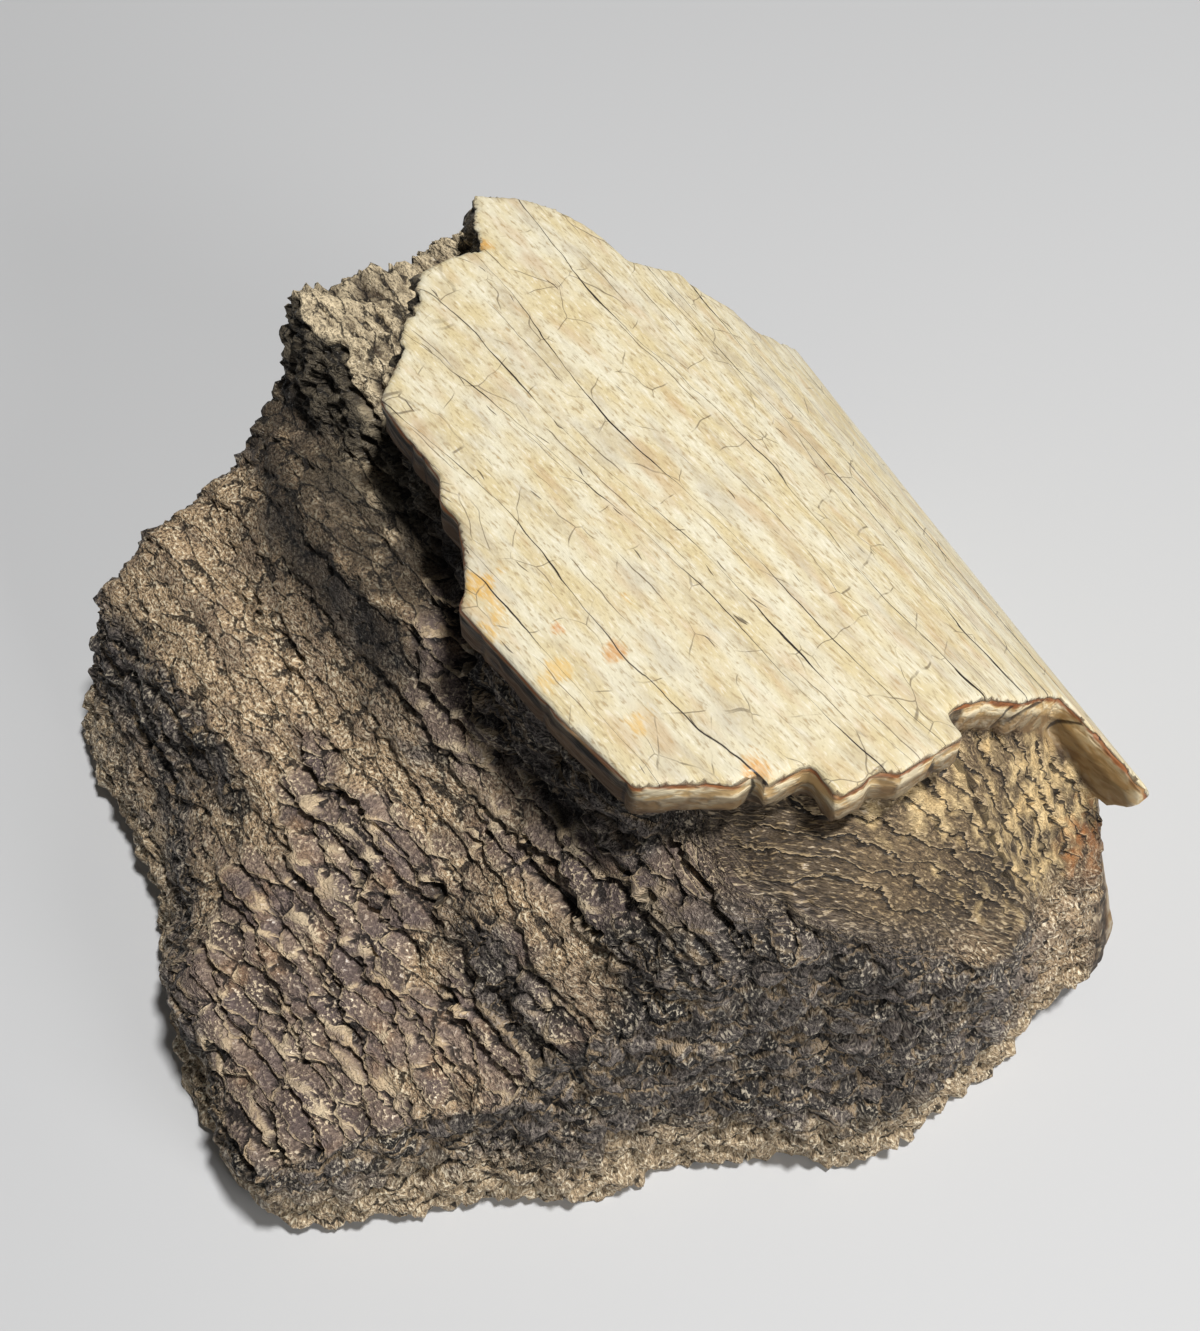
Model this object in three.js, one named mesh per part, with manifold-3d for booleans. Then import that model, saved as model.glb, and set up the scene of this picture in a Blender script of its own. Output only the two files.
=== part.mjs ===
// A fragment broken from the shaft of a large fossil limb bone: a curved plate of dense
// cortex over a body of spongy bone, grown as one piece and so modelled as one solid.
//
// Millimetres, +Z up. +X runs along the bone's grain, +Y towards the side where the cortex
// rolls over and down. Plan positions are measured from a datum near the far end, below the
// crest. The finished solid is then shifted, so that the origin is the bottom centre of its
// bounding box, on the surface that the fragment lies on.
//
// The spongy body is a skin stretched over an implicit form: fracture faces round the sides,
// a sloping broken shelf on top, and noise for its lumps and ridges. The cortex is an arched
// section run along the grain and trimmed to the outline of its broken edge. The two are
// joined, and the join is cut level where it rests.

import * as THREE from "three";
import { mergeVertices } from "three/addons/utils/BufferGeometryUtils.js";
import { ImprovedNoise } from "three/addons/math/ImprovedNoise.js";
import Module from "manifold-3d";

const wasm = await Module();
wasm.setup();

// ---- driving dimensions, in millimetres and degrees -------------------------------------

const CREST = 51; // height of the cortex along its crest
const ROLL_FROM = -8; // the cortex is nearly level up to this y, and then rolls over
const ROLL_RADIUS = 34;
const ROLL_TAPER = 0.0068; // the roll narrows by this share of its width per unit of length
const ROLL_WIDTH_AT_DATUM = 1.14;
const OPEN_SIDE_BEND = 300; // radius-like: the open side falls away as distance squared over it
const CORTEX_THICKNESS = 4.5;
const CORTEX_FOOT = 2; // lowest that the cortex reaches on the rolled side
const CORTEX_FROM = -40;
const CORTEX_TO = 70;

// Broken edge of the cortex, seen from above, from the far tip round the open side.
const CORTEX_EDGE = [
  [-24, 3.5], [-19.5, 0.5], [-16.5, -1], [-17.5, -2.5], [-17.5, -7.5], [-14, -10],
  [-12.5, -13], [-10, -14.5], [-8.5, -17], [-7, -19], [-3.5, -19.5], [3.5, -20],
  [5.5, -21.5], [8, -21.5], [11, -23], [14, -25], [15, -26.5], [28.5, -26.5], [37, -26],
  [40, -22], [42, -20], [42, -18], [43.5, -18.5], [44, -14.5], [47.5, -15], [48, -12.5],
  [47.5, -11.5], [49, -10], [49.5, -3.5], [47, -3], [47.5, 1], [49, 3.5], [49, 10],
  [58.5, 11], [60, 40], [-10, 40], [-4, 30], [-0.5, 26], [1, 22], [0.5, 18.5],
  [-2.5, 18.5], [-5, 16.5], [-8, 16], [-10, 11.5], [-14.5, 11.5], [-18, 10.5], [-22, 7.5],
];

// The same edge on the rolled side, as [x, z] seen from the side: the near end reaches
// furthest at the top, and the foot is ragged.
const ROLLED_EDGE = [
  [-40, 60], [70, 60], [70, 46], [60.5, 41], [58, 35], [54.5, 32], [53, 25], [49, 20],
  [50, 13], [46, 9], [41, 8], [36, 4.5], [30, 6.5], [22, 3.5], [12, 5.5], [6, 2.5], [2, 6],
  [-2, 10], [-1, 17], [-5, 22], [-3.5, 28], [-8, 34], [-13, 40], [-40, 42],
];

// Under the cortex the spongy bone steps up to meet it over this distance in from the edge.
const STEP_FROM = 0.3;
const STEP_TO = 3.5;

// Broken top of the spongy bone outside the cortex: its profile across the grain, as
// [y, height] from the open side inwards, at stations along the grain.
const FAR_END = [
  [-52, 0], [-49, 6], [-44, 19], [-37, 27], [-26, 28], [-23.5, 32.5], [-18.5, 34],
  [-17, 45.5], [-6, 45.5], [1, 44.5], [5, 47.5], [9, 46], [24, 15],
];
const FAR_QUARTER = [[-56, 0], [-43, 24], [-34, 29], [-27, 37], [-20, 39], [10, 42], [24, 22]];
const MIDDLE = [[-66, 6], [-58, 15], [-48, 21], [-40, 25], [-33, 30], [-27, 37], [-20, 39]];
const NEAR_LEDGE = [
  [-58, 14], [-44, 17], [-36, 25], [-29, 33], [-24, 40], [-18, 44], [-6, 45], [6, 44],
  [12, 39], [24, 24],
];
const NEAR_END = [[-44, 13], [-30, 22], [-20, 34], [-6, 33], [3, 30], [12, 28], [24, 18]];
const SHELF = [[-28, FAR_END], [-4, FAR_QUARTER], [12, MIDDLE], [46, NEAR_LEDGE], [58, NEAR_END]];

// Fracture faces round the sides: bearing of the outward normal in degrees from +X,
// distance from the datum at the base, and how far the face leans back per unit of height.
// A face whose lean is negative overhangs.
const SIDES = [
  { bearing: -31, reach: 59.6, lean: 0.13 },
  { bearing: -20, reach: 60.2, lean: -1 },
  { bearing: 0, reach: 62, lean: 0.08 },
  { bearing: 50, reach: 53, lean: 0.27 },
  { bearing: 79, reach: 26.5, lean: 0 },
  { bearing: 122, reach: 32, lean: 0.36 },
  { bearing: 180, reach: 28, lean: 0.02 },
  { bearing: -106, reach: 55, lean: 0.06 },
  { bearing: -70, reach: 69, lean: 0.1 },
];

const LUMP_SIZE = 15;
const LUMP_HEIGHT = 2.6;
const RIDGE_WIDTH = 6;
const RIDGE_STRETCH = 3; // ridges are this many times longer than wide
const RIDGE_HEIGHT = 1.6;

const BASE_CUT = 1.5; // depth trimmed from the underside to leave it flat
const RIM_FROM = 20; // the underside is flat out to here from the heart ...
const RIM_TO = 46; // ... and lifts off the table in places by here
const RIM_WAVE = 20;
const RIM_LIFT = 9;

// The skin grows outwards from a flat disc in the heart of the body.
const HEART = new THREE.Vector3(17, -19, 9);
const HEART_RADII = new THREE.Vector3(28, 26, 0);
const SKIN_DETAIL = 23; // subdivisions of each face of the icosahedron

// ---- shape of the cortex ----------------------------------------------------------------

function rollWidth(x) {
  return ROLL_WIDTH_AT_DATUM - ROLL_TAPER * x;
}

function archHeight(rolled) {
  return CREST - ROLL_RADIUS + Math.sqrt(ROLL_RADIUS ** 2 - rolled ** 2);
}

function openSideHeight(y) {
  return CREST - (y - ROLL_FROM) ** 2 / OPEN_SIDE_BEND;
}

function cortexHeight(x, y) {
  if (y < ROLL_FROM) return openSideHeight(y);
  return archHeight(Math.min((y - ROLL_FROM) / rollWidth(x), ROLL_RADIUS));
}

// Distance inside the broken edge of the cortex, negative outside it.
const edge = CORTEX_EDGE.map(([x, y]) => new THREE.Vector2(x, y));
function insideEdge(x, y) {
  const p = new THREE.Vector3(x, y, 0);
  const nearest = new THREE.Vector3();
  let distance = Infinity;
  let inside = false;
  edge.forEach((a, i) => {
    const b = edge[(i + 1) % edge.length];
    const side = new THREE.Line3(new THREE.Vector3(a.x, a.y, 0), new THREE.Vector3(b.x, b.y, 0));
    side.closestPointToPoint(p, true, nearest);
    distance = Math.min(distance, nearest.distanceTo(p));
    const crosses = a.y > y !== b.y > y;
    if (crosses && x < THREE.MathUtils.mapLinear(y, a.y, b.y, a.x, b.x)) inside = !inside;
  });
  return inside ? distance : -distance;
}

// ---- shape of the spongy body -----------------------------------------------------------

const step = THREE.MathUtils.smoothstep;
const perlin = new ImprovedNoise();

function noise(x, y, z, size, seed) {
  return perlin.noise(x / size + seed, y / size, z / size);
}

// Value at x on the polyline through [x, value] points, level beyond both ends.
function along(points, x) {
  const i = points.findIndex((point) => point[0] > x);
  if (i === 0) return points[0][1];
  if (i < 0) return points[points.length - 1][1];
  const [x0, v0] = points[i - 1];
  const [x1, v1] = points[i];
  return THREE.MathUtils.mapLinear(x, x0, x1, v0, v1);
}

function shelfHeight(x, y) {
  const heights = SHELF.map(([station, across]) => [station, along(across, y)]);
  return along(heights, x);
}

function topHeight(x, y) {
  const under = step(insideEdge(x, y), STEP_FROM, STEP_TO);
  const middleOfCortex = cortexHeight(x, y) - CORTEX_THICKNESS / 2;
  return THREE.MathUtils.lerp(shelfHeight(x, y), middleOfCortex, under);
}

// Underside: flat on the table in the middle, and lifting off it here and there at the rim.
function bottomHeight(x, y) {
  const rim = step(Math.hypot(x - HEART.x, y - HEART.y), RIM_FROM, RIM_TO);
  return RIM_LIFT * rim * Math.max(0, noise(x, y, 0, RIM_WAVE, 5)) - BASE_CUT;
}

// Lumps of the fracture faces, and ridges along the grain, fading out under the cortex.
function roughness(p) {
  const lumps = LUMP_HEIGHT * noise(p.x, p.y, p.z, LUMP_SIZE, 3);
  const ridges = RIDGE_HEIGHT * noise(p.x / RIDGE_STRETCH, p.y, p.z, RIDGE_WIDTH, 11);
  return (lumps + ridges) * (1 - step(insideEdge(p.x, p.y), -1, 3));
}

// Below zero inside the spongy body, and above it outside.
function form(p) {
  let faces = p.z - topHeight(p.x, p.y);
  for (const side of SIDES) {
    const bearing = THREE.MathUtils.degToRad(side.bearing);
    const out = p.x * Math.cos(bearing) + p.y * Math.sin(bearing);
    faces = Math.max(faces, out + side.lean * p.z - side.reach);
  }
  return Math.max(faces + roughness(p), bottomHeight(p.x, p.y) - p.z);
}

// First crossing of the form's surface on a ray that starts inside it.
function surfacePoint(from, direction) {
  const at = (distance) => from.clone().addScaledVector(direction, distance);
  let inside = 0;
  let outside = 1;
  while (form(at(outside)) < 0) {
    inside = outside;
    outside += 1;
  }
  for (let i = 0; i < 12; i++) {
    const middle = (inside + outside) / 2;
    if (form(at(middle)) < 0) inside = middle;
    else outside = middle;
  }
  return at(outside);
}

// ---- solids -----------------------------------------------------------------------------

function spongyBody() {
  const skin = new THREE.IcosahedronGeometry(1, SKIN_DETAIL);
  const points = skin.getAttribute("position");
  for (let i = 0; i < points.count; i++) {
    const direction = new THREE.Vector3().fromBufferAttribute(points, i).normalize();
    const start = direction.clone().multiply(HEART_RADII).add(HEART);
    const p = surfacePoint(start, direction);
    points.setXYZ(i, p.x, p.y, p.z);
  }
  return skin;
}

// Section across the grain, as [y, z]: the outer line from the open side over and down to
// the foot, and back along the inner line.
function cortexSection() {
  const outer = [-38, -30, -22, -15].map((y) => [y, openSideHeight(y)]);
  for (let angle = 0; angle <= 90; angle += 6) {
    const rolled = ROLL_RADIUS * Math.sin(THREE.MathUtils.degToRad(angle));
    outer.push([ROLL_FROM + rolled, archHeight(rolled)]);
  }
  outer.push([ROLL_FROM + ROLL_RADIUS, CORTEX_FOOT]);
  const inner = outer.map(([y, z], i) => {
    const [y0, z0] = outer[Math.max(0, i - 1)];
    const [y1, z1] = outer[Math.min(outer.length - 1, i + 1)];
    const depth = CORTEX_THICKNESS / Math.hypot(y1 - y0, z1 - z0);
    return [y + (z1 - z0) * depth, z - (y1 - y0) * depth];
  });
  return shapeOf([...outer, ...inner.reverse()]);
}

// The section run along the grain, its roll narrowing towards the near end.
function cortexArch() {
  const arch = extrude(cortexSection(), CORTEX_TO - CORTEX_FROM);
  // The section's x is the part's Y, its y the part's Z, and the extrusion runs along X.
  const alongGrain = new THREE.Matrix4().makeBasis(
    new THREE.Vector3(0, 1, 0), new THREE.Vector3(0, 0, 1), new THREE.Vector3(1, 0, 0));
  arch.applyMatrix4(alongGrain).translate(CORTEX_FROM, 0, 0);
  const points = arch.getAttribute("position");
  for (let i = 0; i < points.count; i++) {
    const rolled = points.getY(i) - ROLL_FROM;
    if (rolled > 0) points.setY(i, ROLL_FROM + rolled * rollWidth(points.getX(i)));
  }
  return arch;
}

function insideEdgeBlock() {
  return extrude(new THREE.Shape(edge), 2 * CREST);
}

function insideRolledEdgeBlock() {
  const block = extrude(shapeOf(ROLLED_EDGE), 160);
  return block.rotateX(Math.PI / 2).translate(0, 80, 0);
}

function aboveTable() {
  return new THREE.BoxGeometry(300, 300, 100).translate(0, 0, 50);
}

function shapeOf(points) {
  return new THREE.Shape(points.map(([x, y]) => new THREE.Vector2(x, y)));
}

function extrude(shape, depth) {
  return new THREE.ExtrudeGeometry(shape, { depth, steps: 1, bevelEnabled: false });
}

function solid(geometry) {
  const bare = new THREE.BufferGeometry().setIndex(geometry.index);
  bare.setAttribute("position", geometry.getAttribute("position"));
  const merged = mergeVertices(bare, 1e-4);
  return new wasm.Manifold(
    new wasm.Mesh({
      numProp: 3,
      vertProperties: merged.getAttribute("position").array,
      triVerts: new Uint32Array(merged.index.array),
    }),
  );
}

function geometryOf(manifold) {
  const mesh = manifold.getMesh();
  const geometry = new THREE.BufferGeometry();
  geometry.setAttribute("position", new THREE.BufferAttribute(mesh.vertProperties, 3));
  geometry.setIndex(new THREE.BufferAttribute(mesh.triVerts, 1));
  return geometry;
}

function centredOnItsBase(geometry) {
  geometry.computeBoundingBox();
  const centre = geometry.boundingBox.getCenter(new THREE.Vector3());
  return geometry.translate(-centre.x, -centre.y, 0);
}

// ---- the fragment -----------------------------------------------------------------------

const cortex = solid(cortexArch())
  .intersect(solid(insideEdgeBlock()))
  .intersect(solid(insideRolledEdgeBlock()));
const joined = solid(spongyBody()).add(cortex);
const fragment = centredOnItsBase(geometryOf(joined.intersect(solid(aboveTable()))));

const material = new THREE.MeshStandardMaterial({ color: 0x5d5145, roughness: 0.85, metalness: 0 });
const bone = new THREE.Mesh(fragment, material);
bone.name = "bone_fragment";

const specimen = new THREE.Group();
specimen.add(bone);

export default specimen;
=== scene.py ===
"""Looks of a fossil bone fragment: cream cortex over dark spongy bone, on a pale floor.

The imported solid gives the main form. A fine copy of it gets the relief of broken bone from
Geometry Nodes, which also store where the patterns and the broad finishes are. One material
reads them and mixes three kinds of surface: the outside of the cortex, its broken edge, and the
spongy bone. Blender's lengths are in metres, and patterns are worked out in millimetres.
"""

import math

import bpy
import numpy as np
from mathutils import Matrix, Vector


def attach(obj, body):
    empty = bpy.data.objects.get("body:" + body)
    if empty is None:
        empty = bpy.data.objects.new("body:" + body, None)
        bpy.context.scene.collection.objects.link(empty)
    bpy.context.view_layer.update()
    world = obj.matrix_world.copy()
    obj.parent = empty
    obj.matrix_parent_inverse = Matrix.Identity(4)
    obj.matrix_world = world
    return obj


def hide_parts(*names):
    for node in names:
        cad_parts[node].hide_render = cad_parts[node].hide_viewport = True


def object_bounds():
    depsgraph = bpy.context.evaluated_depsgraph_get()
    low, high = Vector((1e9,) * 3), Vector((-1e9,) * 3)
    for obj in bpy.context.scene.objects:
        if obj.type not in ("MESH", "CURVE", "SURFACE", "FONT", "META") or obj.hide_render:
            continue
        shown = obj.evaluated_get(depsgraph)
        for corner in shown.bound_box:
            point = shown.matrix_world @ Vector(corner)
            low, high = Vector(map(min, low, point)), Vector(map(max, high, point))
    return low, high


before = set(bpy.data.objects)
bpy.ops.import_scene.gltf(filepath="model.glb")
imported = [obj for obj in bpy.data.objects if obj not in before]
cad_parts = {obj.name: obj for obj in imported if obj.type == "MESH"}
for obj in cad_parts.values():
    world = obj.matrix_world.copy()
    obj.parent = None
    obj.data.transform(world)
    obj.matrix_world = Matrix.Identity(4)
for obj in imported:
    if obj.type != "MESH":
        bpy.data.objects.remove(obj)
cad_low, cad_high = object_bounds()

MM = 0.001

# ---- driving sizes, in millimetres ------------------------------------------------------

# The cortex is an arch along X, the grain of the bone, with the solid's own measures. It rolls
# over and down past ROLL_FROM along Y, and on the open side it falls off slowly.
CREST = 51.0
ROLL_FROM = 8.0
ROLL_RADIUS = 34.0
ROLL_WIDTH = 1.031  # how wide the roll is for its height, where X is 0
ROLL_TAPER = 0.0068  # what the width loses for each millimetre along X
OPEN_SIDE_BEND = 300.0  # the fall is the square of the distance from ROLL_FROM over this

# Spongy bone's patterns: their size along the grain, across it and through it.
SCALE = (5.0, 1.7, 1.7)
LUMP = (4.6, 2.2, 1.7)  # on steep faces, in place of scales
CRUMB = (1.1, 0.7, 0.7)
GRIT = (0.36, 0.26, 0.26)
RIDGE = (6.0, 1.2, 1.2)  # on the far block

# The cortex's patterns, in the same way. NET is the mesh of its hairline cracks.
FIBRE = (1.3, 0.3, 0.3)
NET = (6.5, 4.5, 30.0)
DASH = (5.0, 0.4, 20.0)
SPLIT = (13.0, 9.0, 30.0)  # on its broken edge
LAYER = (4.0, 1.6, 1.1)  # on its broken edge
STREAK = (1.1, 0.22, 0.35)  # along the layers of the near ledge
LEAF = (1.6, 0.6, 0.9)  # on the layers of the near ledge

# Sizes of the noises that make the patterns patchy, and mottle the colours.
PATCH = 3.0
CRUMBLY_PATCH = 9.0
TERRACE_PATCH = (12.0, 7.0, 7.0)
OPEN_CRACK = (13.0, 3.0, 3.0)
CORTEX_CLOUD = (9.0, 2.0, 2.0)
SPONGY_CLOUD = 3.5

# Noises that bend the patterns: their size, and how far they reach.
BROAD_BEND = (7.0, 1.2)
FINE_BEND = (1.6, 0.3)
GRAIN_BEND = ((4.0, 2.5, 2.5), 0.9)
LAYER_BEND = (4.0, 0.8)
SLOW_CRACK_BEND = ((34.0, 11.0, 11.0), 7.0)
QUICK_CRACK_BEND = ((4.5, 1.6, 1.6), 0.9)

# Heights of the relief.
TERRACE_STEP = 1.2
SCALE_STEP = 0.25
SCALE_LEAN = 0.3
RIM_HEIGHT = 0.25
GROOVE_DEPTH = 0.3
CRUMB_HEIGHT = 0.3
LUMP_HEIGHT = 2.0
RIDGE_HEIGHT = 1.2
LAMELLA_STEP = 0.7
GRIT_HEIGHT = 0.16  # only as bump in the material
FIBRE_HEIGHT = 0.03  # only as bump in the material
STRATA_HEIGHT = 0.25
CRACK_DEPTH = 0.15
OVERHANG = 0.3  # the share of its height by which a scale also moves along -Y

# Long patterns: from one to the next.
TERRACE_SPACING = 3.6
LAMELLA_SPACING = 1.7
CRACK_SPACING = 5.2
FINE_CRACK_SPACING = 2.1

# Degrees from the grain to the layers of the near ledge, and to those past WOODY_FROM along Y.
LEDGE_TURN = 45.0
WOODY_TURN = 15.0
WOODY_FROM = 15.0

# Where one kind of bone gives way to another, from start to end.
SPONGY_DEPTH = (5.0, 8.0)  # under the outside of the cortex
SPONGY_END = (-24.0, -27.0)  # along X, past which the broken end is spongy at any depth
LEDGE_DEPTH = (3.5, 5.0)
LEDGE_FROM = (21.0, 26.0)  # along X
LEDGE_HEIGHT = (36.0, 40.0)  # along Z
FAR_BLOCK_FROM = (-12.0, -19.0)  # along X
FAR_BLOCK_HEIGHT = (36.0, 40.0)

# The crumbly valley of the shelf: its place along Y, and its reach to each side.
VALLEY_AT = -17.0
VALLEY_REACH = 7.0

# Where the broad finishes come in, from start to full share, along the axis in each name.
NEAR_CHAR_X = (24.0, 31.0)
NEAR_CHAR_Y = (14.0, 6.0)
# STEP_SIDE and STEP_FOOT place painted shade on the step under the plate's open edge and at its foot.
STEP_SIDE_X = (-2.0, -12.0)
STEP_SIDE_Z = (29.0, 34.0)
STEP_FOOT_X = (-6.0, -12.0)
STEP_FOOT_Y = (-15.0, -10.0)
STEP_FOOT_Z = (31.0, 34.0)
STEP_FOOT_TOP_Z = (42.0, 38.0)
SMOKY_Y = (12.0, 0.0)
SMOKY_Z = (44.0, 38.0)
TAN_SIDE_Y = (17.0, 27.0)
BASE_STRIP_Z = (17.0, 11.0)
# painted shade on the broken edge of the open side fades out along X here
OPEN_SHADE_X = (24.0, 19.0)
CRUMBLY_FAR_X = (6.0, -26.0)
CRUMBLY_NEAR_X = (33.0, 39.0)

# Stains of the cortex: centre, radius and colour, as the eye sees it.
STAINS = [
    ((-1.5, -8.0, 50.0), 1.9, (226, 178, 86)),
    ((2.5, -9.5, 50.0), 2.6, (230, 190, 116)),
    ((6.0, -6.0, 50.0), 1.2, (208, 132, 62)),
    ((9.5, -8.0, 50.0), 1.8, (232, 198, 130)),
    ((0.0, 3.0, 50.0), 1.2, (200, 152, 112)),
    ((7.5, 0.5, 50.0), 1.4, (222, 180, 122)),
    ((10.5, -3.5, 50.0), 1.4, (214, 160, 100)),
    ((17.0, -6.0, 50.0), 2.2, (232, 196, 130)),
    ((25.5, -2.0, 50.0), 1.8, (226, 170, 98)),
    ((-33.0, 15.8, 50.4), 1.0, (218, 166, 84)),
]

# Tan woody patches of the near ledge, and its rust patch: centre and radius.
WOODY = [((36.0, 22.0, 34.0), 9.0), ((31.0, 11.0, 42.0), 5.0)]
RUST = ((42.0, 25.5, 30.0), 4.0)

# The fine copy of the solid, and how often it is smoothed.
VOXEL = 0.4
RIM_RINGS = 4  # rings of vertices over which the relief fades out towards the cortex's rim
BORDER_TURNS = 4
LIGHT_TURNS = 3
FACET_TURNS = 30
MOST_TRIANGLES = 195000

ROUGHNESS = (0.8, 0.35)  # of the pores and of the grains' tops

# The stage, in metres and watts, with the camera's angles in degrees.
FLOOR_REACH = 1.5
KEY_LIGHT = {"place": (0.16, 0.09, 0.77), "size": 0.09, "power": 5.6}
FILL_LIGHT = {"place": (0.8, 0.12, 0.36), "size": 0.4, "power": 2.9}
WARM_WHITE = (1.0, 0.98, 0.95)
SKY_WHITE = (0.95, 0.97, 1.0, 1.0)
SKY_STRENGTH = 0.05
CAMERA_AZIMUTH = 51.7
CAMERA_ELEVATION = 55.7
CAMERA_DISTANCE = 0.198
CAMERA_TARGET = (-0.016, 0.016, 0.0)
CAMERA_LENS = 47.3


# ---- node helpers -----------------------------------------------------------------------

def add(tree, kind, inputs=None, **settings):
    """A new node with its settings and inputs. An input is a socket to link or a value."""
    node = tree.nodes.new(kind)
    for name, value in settings.items():
        setattr(node, name, value)
    for key, value in (inputs or {}).items():
        put(tree, node.inputs[key], value)
    return node


def put(tree, socket, value):
    if isinstance(value, bpy.types.NodeSocket):
        tree.links.new(value, socket)
    else:
        socket.default_value = value


def math_node(tree, operation, a, b=0.0, clamp=False):
    inputs = {0: a} if operation in ("ABSOLUTE", "FRACT") else {0: a, 1: b}
    return add(tree, "ShaderNodeMath", inputs, operation=operation, use_clamp=clamp).outputs[0]


def times(tree, a, b, *more):
    product = math_node(tree, "MULTIPLY", a, b)
    return times(tree, product, *more) if more else product


def plus(tree, a, b, *more):
    total = math_node(tree, "ADD", a, b)
    return plus(tree, total, *more) if more else total


def minus(tree, a, b):
    return math_node(tree, "SUBTRACT", a, b)


def highest(tree, a, b, *more):
    top = math_node(tree, "MAXIMUM", a, b)
    return highest(tree, top, *more) if more else top


def rest_of(tree, share):
    """What is left of 1."""
    return math_node(tree, "SUBTRACT", 1.0, share, clamp=True)


def ramp(tree, value, low, high, out_low=0.0, out_high=1.0):
    """A smooth step of value from low to high."""
    inputs = {"Value": value, "From Min": low, "From Max": high, "To Min": out_low, "To Max": out_high}
    node = add(tree, "ShaderNodeMapRange", inputs, interpolation_type="SMOOTHSTEP")
    return node.outputs[0]


def vector_node(tree, operation, a, b):
    key = 3 if operation == "SCALE" else 1
    return add(tree, "ShaderNodeVectorMath", {0: a, key: b}, operation=operation).outputs[0]


def parts_of(tree, vector):
    return add(tree, "ShaderNodeSeparateXYZ", {0: vector}).outputs


def join(tree, x, y, z):
    return add(tree, "ShaderNodeCombineXYZ", {0: x, 1: y, 2: z}).outputs[0]


def in_cells(tree, at, size, shift=0.0):
    """A position measured in cells of that size. size is one number or one per axis.

    Two noises of one size differ when one has a shift.
    """
    sizes = size if isinstance(size, tuple) else (size, size, size)
    place = vector_node(tree, "MULTIPLY", at, tuple(1 / s for s in sizes))
    return vector_node(tree, "ADD", place, (shift, shift, shift)) if shift else place


def noise_node(tree, at, size, detail=2.0, roughness=0.5, shift=0.0):
    inputs = {"Vector": in_cells(tree, at, size, shift), "Scale": 1.0, "Detail": detail,
              "Roughness": roughness}
    return add(tree, "ShaderNodeTexNoise", inputs)


def noise(tree, at, size, detail=2.0, roughness=0.5, shift=0.0):
    """Noise from 0 to 1, around 0.5, whose features are about size across."""
    return noise_node(tree, at, size, detail, roughness, shift).outputs[0]


def walls(tree, at, size):
    """Distance to the walls between cells, as a share of a cell."""
    inputs = {"Vector": in_cells(tree, at, size), "Scale": 1.0}
    return add(tree, "ShaderNodeTexVoronoi", inputs, feature="DISTANCE_TO_EDGE").outputs["Distance"]


def warped(tree, at, size, reach):
    """The position shaken by noise, so that a pattern on it loses its regularity."""
    shake = noise_node(tree, at, size, detail=1.0).outputs["Color"]
    centred = vector_node(tree, "SUBTRACT", shake, (0.5, 0.5, 0.5))
    return vector_node(tree, "ADD", at, vector_node(tree, "SCALE", centred, 2.0 * reach))


def wander(tree, at, size, reach, detail):
    """A number that noise takes up and down round 0."""
    return times(tree, minus(tree, noise(tree, at, size, detail=detail, shift=4.0), 0.5), reach)


def either(tree, share, a, b):
    """Position a or b, so that one texture can serve two finishes."""
    node = add(tree, "ShaderNodeMix", data_type="VECTOR")
    for key, value in ((0, share), (4, a), (5, b)):
        put(tree, node.inputs[key], value)
    return node.outputs[1]


def mix(tree, share, a, b):
    """Colour a, with that share of colour b over it."""
    node = add(tree, "ShaderNodeMix", data_type="RGBA")
    for key, value in ((0, share), (6, a), (7, b)):
        put(tree, node.inputs[key], value)
    return node.outputs[2]


def blob(tree, at, centre, radius, ragged):
    """Share of a stain with a soft ragged outline, ragged being a noise around 0.5."""
    away = add(tree, "ShaderNodeVectorMath", {0: at, 1: centre}, operation="DISTANCE").outputs["Value"]
    away = plus(tree, away, times(tree, minus(tree, ragged, 0.5), 5.0 * radius))
    return ramp(tree, away, radius, 0.1 * radius)


# ---- colours ----------------------------------------------------------------------------

def rgb(r, g, b):
    """A colour given as the eye sees it, 0 to 255, in the renderer's linear values."""
    def linear(c):
        c /= 255
        return c / 12.92 if c <= 0.04045 else ((c + 0.055) / 1.055) ** 2.4
    return (linear(r), linear(g), linear(b), 1.0)


# Scales of spongy bone, with their rims and pores, and painted shade in their grooves.
SCALE_DARK = rgb(106, 91, 84)
SCALE_PALE = rgb(160, 139, 124)
SCALE_GREY = rgb(118, 103, 100)
SCALE_RUSTY = rgb(170, 134, 98)
# pale grit specks, partly painted glints
SCALE_SPECK_GLINT = rgb(232, 212, 180)
SCALE_PORE = rgb(46, 38, 34)
RIM_TAN = rgb(206, 170, 124)
IVORY = rgb(255, 240, 208)
# painted shade for the grooves and the feet of terrace drops
GROOVE_SHADE = rgb(16, 13, 11)

# Its crumbs, its charred steep faces, and the strip along its base.
CRUMB_TAN = rgb(206, 176, 138)
CRUMB_BROWN = rgb(130, 112, 98)
CRUMB_PORE = rgb(46, 38, 32)
CHARCOAL = rgb(36, 32, 30)
ASH = rgb(128, 118, 112)
# pale grit specks on charcoal, partly painted glints
ASH_SPECK_GLINT = rgb(216, 204, 182)
ASH_RIM = rgb(192, 166, 130)
SOOT = rgb(14, 12, 11)
STRIP_TAN = rgb(204, 180, 146)
STRIP_PALE = rgb(254, 240, 210)
STRIP_PORE = rgb(84, 70, 56)

# The far block's ridges, and the painted shade on the side of the step under the plate and at its foot.
# painted shade in the grooves between the far block's ridges
RIDGE_FOOT_SHADE = rgb(36, 28, 23)
RIDGE_CREST = rgb(255, 236, 198)
RIDGE_PORE = rgb(48, 39, 33)
PAINTED_SHADE = rgb(28, 23, 20)

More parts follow.
